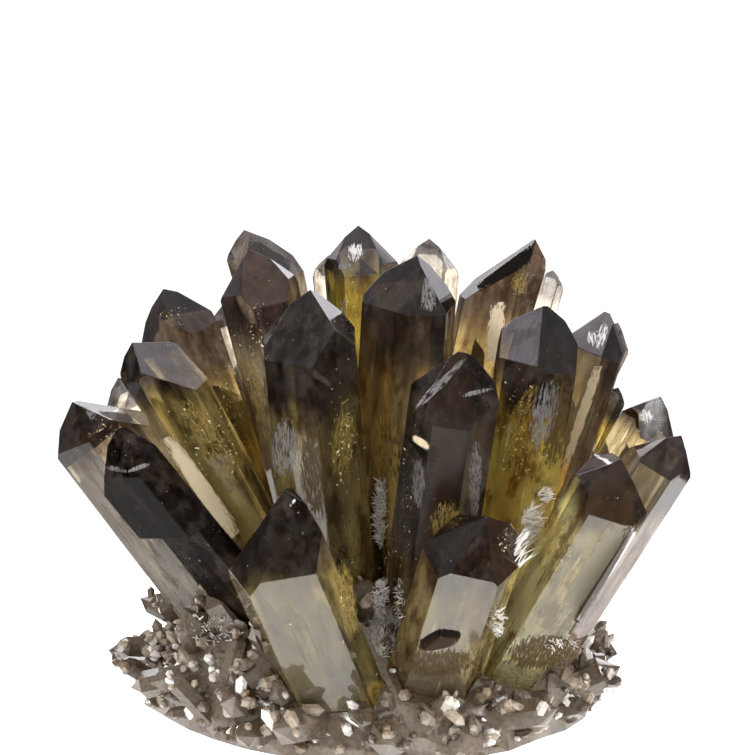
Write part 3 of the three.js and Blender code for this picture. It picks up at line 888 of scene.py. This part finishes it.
def new_point(name):
    """A six-sided point of radius 1 that stands on the origin, three units of prism and a tip."""
    bpy.ops.object.select_all(action="DESELECT")
    bpy.ops.mesh.primitive_cylinder_add(vertices=6, radius=1, depth=PRISM, end_fill_type="TRIFAN",
                                        location=(0, 0, PRISM / 2))
    point = bpy.context.object
    point.name = name
    bpy.ops.object.transform_apply(location=True, rotation=True, scale=True)
    for vertex in point.data.vertices:
        vertex.select = vertex.co.z > PRISM * 0.9 and vertex.co.xy.length < 0.1
    for edge in point.data.edges:
        edge.select = False
    for face in point.data.polygons:
        face.select = False
    bpy.ops.object.mode_set(mode="EDIT")
    bpy.context.tool_settings.mesh_select_mode = (True, False, False)
    bpy.ops.transform.translate(value=(0, 0, TIP))
    bpy.ops.object.mode_set(mode="OBJECT")
    return point


small_point = new_point("small_point")
print(small_point.name, "has", len(small_point.data.polygons), "faces")

# %% [markdown]
# Small points may stand only where no crystal is, so the trees are asked once more, now for what
# lies nearest to a place.

# %% Room for the druse
mound = copy_of("matrix", "druse")
round_edges(mound)
all_crystals = tree_of(crystals.values())
everything = tree_of([*crystals.values(), mound])


def room_from_crystals(place):
    """How far a place is outside the nearest crystal; below zero inside one."""
    nearest, normal, _, distance = all_crystals.find_nearest(place)
    return distance if (place - nearest).dot(normal) > 0 else -distance


print("room above the middle:", round(room_from_crystals(Vector((0, 0, 0.2))) / MM), "mm")

# %% Druse over the mound
random.seed(41)
SMALL_POINTS = 1500
SMALL_RADIUS = (0.45, 1.5)
SMALL_SLENDER = (2.4, 4.5)
SMALL_STRAY = 0.6
SMALL_SUNK = 0.8
TRIES = 3
STEEPEST = -0.2
LOWEST = 1.5 * MM


def planted(model, place, direction, radius, length, turn, shade):
    """A copy of a point at a place, with a number on it that says how pale it is."""
    mesh = model.data.copy()
    upright = direction.to_track_quat("Z", "Y").to_matrix().to_4x4()
    spin = Matrix.Rotation(turn, 4, "Z")
    size = Matrix.Diagonal((radius, radius, length / (PRISM + TIP), 1))
    mesh.transform(Matrix.Translation(place) @ upright @ spin @ size)
    mark = mesh.attributes.new("shade", "FLOAT", "POINT")
    mark.data.foreach_set("value", [shade] * len(mesh.vertices))
    planted_point = bpy.data.objects.new("point", mesh)
    bpy.context.collection.objects.link(planted_point)
    return planted_point


def strayed(most):
    return Vector([random.uniform(-most, most) for _ in range(3)])


def inside_face(mesh, face, power):
    """A random place on a face."""
    corners = [mesh.vertices[index].co for index in face.vertices]
    shares = [random.random() ** power for _ in corners]
    return sum((corner * share for corner, share in zip(corners, shares)), Vector()) / sum(shares)


def grow_druse(count):
    """Small points on random places of the mound, where no crystal is in their way."""
    faces = list(mound.data.polygons)
    areas = [face.area for face in faces]
    grown = []
    for face in random.choices(faces, weights=areas, k=count * TRIES):
        place = inside_face(mound.data, face, 1)
        direction = (face.normal + strayed(SMALL_STRAY)).normalized()
        radius = random.uniform(*SMALL_RADIUS) * MM
        length = radius * random.uniform(*SMALL_SLENDER)
        end = place + direction * length
        fits = (face.normal.z > STEEPEST and min(place.z, end.z) > LOWEST
                and room_from_crystals(end) > radius and room_from_crystals(place) > radius)
        if fits and len(grown) < count:
            sunk = place - direction * radius * SMALL_SUNK
            shade = random.random()
            turn = random.uniform(0, math.pi)
            grown.append(planted(small_point, sunk, direction, radius, length, turn, shade))
    return grown


small_ones = grow_druse(SMALL_POINTS)
join_all(mound, small_ones)
print(len(small_ones), "small points on the mound,", len(mound.data.polygons), "faces")

# %% [markdown]
# Druse quartz is nearly colourless where it is clean and pale brown where iron has stained it.
# Some points are milky and catch the light as white, others are smoky. The material mixes them
# by each point's own shade and by a cloud of stain, and lets a share of the light through.

# %% The druse's material
def druse_material(name, clear_share, dark, stain, pale, roughness):
    material = bpy.data.materials.new(name)
    tree = new_tree(material)
    place = add_node(tree, "ShaderNodeTexCoord").outputs["Object"]
    shade = stored(tree, "shade").outputs["Fac"]
    cloud = ramp_between(tree, stretched_noise(tree, place, (1, 1, 1), 90, 4.0), 0.36, 0.62)
    colour = mixed(tree, cloud, stain, pale)
    smoky = ramp_between(tree, shade, 0.55, 0.15)
    colour = mixed(tree, product(tree, smoky, 0.8), colour, dark)
    milky = ramp_between(tree, shade, 0.78, 0.95)
    colour = mixed(tree, milky, colour, (0.92, 0.90, 0.86))
    grit_and_glints = ramp_between(tree, stretched_noise(tree, place, (1, 1, 1), 900, 3.0), 0.42, 0.62)
    gritty = mixed(tree, grit_and_glints, colour, (0.45, 0.38, 0.32), "MULTIPLY")
    colour = mixed(tree, product(tree, grit_and_glints, 0.5), colour, gritty)
    bump = add_node(tree, "ShaderNodeBump", Strength=0.35, Distance=0.2 * MM)
    tree.links.new(stretched_noise(tree, place, (1, 1, 1), 700, 4.0), bump.inputs["Height"])
    shader = add_node(tree, "ShaderNodeBsdfPrincipled", Roughness=roughness, IOR=QUARTZ_IOR)
    shader.inputs["Transmission Weight"].default_value = clear_share
    output = add_node(tree, "ShaderNodeOutputMaterial")
    wire(tree, (colour, shader.inputs["Base Color"]),
         (bump.outputs[0], shader.inputs["Normal"]),
         (shader.outputs[0], output.inputs["Surface"]))
    return material


mound.data.materials.append(druse_material(
    "stained druse", 0.25, (0.06, 0.042, 0.028), (0.20, 0.14, 0.085), (0.46, 0.39, 0.31), 0.2))
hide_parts("matrix")
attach(mound, "root")

# %% [markdown]
# Between the front crystals the photograph shows white patches: sprays of fine needles that
# grew late, in the gaps. They are placed by where the camera sees them, and each stands on
# whatever crystal or bit of mound the line of sight meets there.

# %% White sprays in the gaps
# Middle and half size of each patch in pixels, needles, their length in mm, where they lean to,
# and how far they stray from that.
SPRAYS = [
    ((381, 514), (5, 34), 420, 3.2, (0.1, -0.7, 0.8), 0.8),
    ((381, 600), (9, 18), 300, 3.2, (-0.1, -0.7, 0.7), 0.8),
    ((382, 632), (11, 26), 560, 4.0, (0.1, -0.8, 0.6), 0.8),
    ((519, 552), (5, 16), 70, 6.0, (0.5, -0.2, 1.0), 0.35),
    ((530, 523), (9, 14), 150, 4.0, (0.5, -0.3, 0.9), 0.7),
    ((543, 496), (6, 6), 60, 3.0, (0.6, -0.4, 0.6), 0.7),
    ((498, 624), (6, 14), 90, 2.4, (0.3, -0.6, 0.6), 0.8),
    ((215, 632), (26, 16), 90, 2.6, (-0.4, -0.7, 0.6), 0.8),
    ((560, 645), (16, 8), 60, 2.4, (0.2, -0.8, 0.5), 0.8),
    ((400, 600), (5, 20), 60, 2.4, (0.2, -0.7, 0.6), 0.8),
]
NEEDLE_RADIUS = (0.05, 0.15)
NEEDLE_SHARE = (0.4, 1.0)


def one_piece(points, name, material):
    """Planted points joined into one piece of the druse."""
    first = points.pop()
    first.name = name
    join_all(first, points)
    first.data.materials.append(material)
    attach(first, "root")
    print(name, "has", len(points) + 1, "points")


needles = []
for (across, down), (wide, high), count, length, lean, stray in SPRAYS:
    for _ in range(count):
        reach = math.sqrt(random.random())
        angle = random.uniform(0, 2 * math.pi)
        aim = sight(across + wide * reach * math.cos(angle), down + high * reach * math.sin(angle))
        place, normal, _, _ = everything.ray_cast(camera.location, aim)
        if place is None or place.z < LOWEST:
            continue
        direction = (normal * stray + Vector(lean) + strayed(stray)).normalized()
        radius = random.uniform(*NEEDLE_RADIUS) * MM
        own_length = length * random.uniform(*NEEDLE_SHARE) * MM
        sunk = place - direction * radius
        needles.append(planted(small_point, sunk, direction, radius, own_length,
                               random.uniform(0, math.pi), random.uniform(0.6, 1.0)))
one_piece(needles, "white_sprays", druse_material(
    "white druse", 0.1, (0.70, 0.66, 0.60), (0.90, 0.87, 0.82), (0.97, 0.96, 0.95), 0.3))

# %% [markdown]
# Specks, splinters and scratches lie on every facet: tiny chips whose pale and golden colours are painted
# white and golden glints. They are the same small point once more, laid flat on the crystals' faces.

# %% Flecks and painted glints on the facets
FLECKS = 2600
FLECK_RADIUS = 0.03 * MM
FLECK_SPREAD = 0.10 * MM
FLECK_SLENDER = (1.5, 2, 3, 4, 8)
# Middle and half size in pixels of the places where golden painted glints crowd, and how many lie there.
PAINTED_GLINT_SPOTS = [
    ((232, 405), (14, 60), 260), ((346, 440), (12, 52), 150), ((520, 282), (14, 14), 70),
    ((350, 310), (8, 40), 60), ((408, 500), (6, 42), 60), ((390, 560), (12, 40), 90),
    ((560, 560), (20, 40), 60), ((520, 430), (18, 52), 150), ((505, 545), (8, 16), 40),
    ((345, 600), (12, 50), 70), ((105, 430), (14, 12), 40), ((256, 335), (10, 50), 60),
    ((200, 440), (24, 50), 80), ((620, 440), (18, 16), 50), ((175, 315), (14, 12), 30),
]


def fleck(place, normal):
    """A tiny chip that lies flat on a facet, turned any way."""
    jitter = strayed(1)
    direction = (jitter - normal * jitter.dot(normal)).normalized()
    radius = FLECK_RADIUS + FLECK_SPREAD * random.random() ** 3
    own_length = radius * random.choice(FLECK_SLENDER)
    return planted(small_point, place, direction, radius, own_length,
                   random.uniform(0, math.pi), random.random())


flat_faces = [(piece, face) for piece in crystals.values() for face in piece.data.polygons]
areas = [face.area for _, face in flat_faces]
chips_and_painted_glints = []
for piece, face in random.choices(flat_faces, weights=areas, k=FLECKS):
    chips_and_painted_glints.append(fleck(inside_face(piece.data, face, 2), face.normal))
painted_glints = []
for (across, down), (wide, high), count in PAINTED_GLINT_SPOTS:
    for _ in range(count):
        aim = sight(random.gauss(across, wide / 2), random.gauss(down, high / 2))
        place, normal, _, _ = all_crystals.ray_cast(camera.location, aim)
        if place is not None:
            painted_glints.append(fleck(place, normal))
# The chips' pale and golden colours are painted glints.
one_piece(chips_and_painted_glints, "chips_and_painted_glints", druse_material(
    "pale chips and painted glints", 0.2, (0.16, 0.11, 0.06), (0.42, 0.33, 0.20), (0.62, 0.56, 0.45), 0.2))
one_piece(painted_glints, "golden_painted_glints", druse_material(
    "golden chips and painted glints", 0.1, (0.40, 0.27, 0.07), (0.62, 0.46, 0.16), (0.95, 0.80, 0.45), 0.25))
bpy.data.objects.remove(small_point)

# %% [markdown]
# Last, the scene is done.

# %% Done
print("done")
